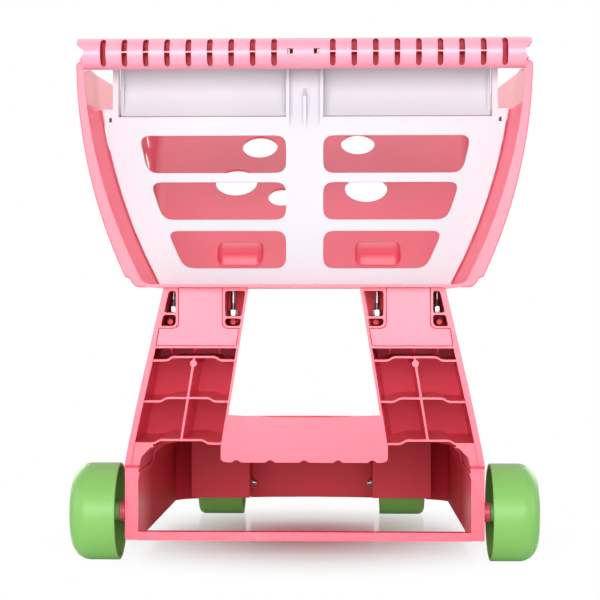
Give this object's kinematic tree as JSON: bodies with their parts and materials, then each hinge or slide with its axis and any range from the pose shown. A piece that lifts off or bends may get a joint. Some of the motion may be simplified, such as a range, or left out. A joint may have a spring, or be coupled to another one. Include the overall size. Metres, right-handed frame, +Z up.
{
  "type": "toy shopping cart",
  "caption": "Child's plastic shopping cart: scoop basket with round holes on two ribbed legs and a low rack, slotted push bar, windowed rear gate with a fold-down seat, free-rolling wheels.",
  "frame": {"origin": "centre of the footprint on the floor the wheels stand on", "axes": "+X the pusher's right, +Y forward, away from the pusher, +Z up"},
  "size_m": [0.4574, 0.4376, 0.5066],
  "materials": {
    "pink_plastic": "moulded, satin sheen",
    "white_plastic": "moulded, satin sheen",
    "green_plastic": "moulded, satin sheen",
    "steel": "plated, bright"
  },
  "bodies": {
    "cart": {"base_frame": "pink_plastic", "basket_tub": "pink_plastic", "handle_bar": "pink_plastic", "rear_gate": "white_plastic", "seat_pin_left": "steel", "leg_lock_plate_left": "pink_plastic", "rear_axle_left": "steel", "front_axle_left": "steel", "front_axle_clip_left": "steel", "basket_bolt_left_inner": "steel", "basket_nut_left_inner": "steel", "basket_bolt_left_outer": "steel", "basket_nut_left_outer": "steel", "seat_pin_right": "steel", "leg_lock_plate_right": "pink_plastic", "rear_axle_right": "steel", "front_axle_right": "steel", "front_axle_clip_right": "steel", "basket_bolt_right_inner": "steel", "basket_nut_right_inner": "steel", "basket_bolt_right_outer": "steel", "basket_nut_right_outer": "steel"},
    "flap": {"seat_flap": "white_plastic"},
    "rear_wheel_left": {"rear_wheel_left": "green_plastic", "rear_hub_cap_left": "green_plastic"},
    "rear_wheel_right": {"rear_wheel_right": "green_plastic", "rear_hub_cap_right": "green_plastic"},
    "front_wheel_left": {"front_wheel_left": "green_plastic"},
    "front_wheel_right": {"front_wheel_right": "green_plastic"}
  },
  "joints": [
    {"name": "flap_hinge", "type": "hinge", "parent": "cart", "child": "flap", "pos_m": [0, -0.146, 0.435], "axis": [-1, 0, 0], "range_deg": [0, 90]},
    {"name": "rear_wheel_left_roll", "type": "hinge", "parent": "cart", "child": "rear_wheel_left", "pos_m": [-0.2037, -0.1714, 0.04739], "axis": [1, 0, 0], "continuous": true},
    {"name": "rear_wheel_right_roll", "type": "hinge", "parent": "cart", "child": "rear_wheel_right", "pos_m": [0.2037, -0.1714, 0.04739], "axis": [1, 0, 0], "continuous": true},
    {"name": "front_wheel_left_roll", "type": "hinge", "parent": "cart", "child": "front_wheel_left", "pos_m": [-0.1075, 0.165, 0.03688], "axis": [1, 0, 0], "continuous": true},
    {"name": "front_wheel_right_roll", "type": "hinge", "parent": "cart", "child": "front_wheel_right", "pos_m": [0.1075, 0.165, 0.03688], "axis": [1, 0, 0], "continuous": true}
  ]
}
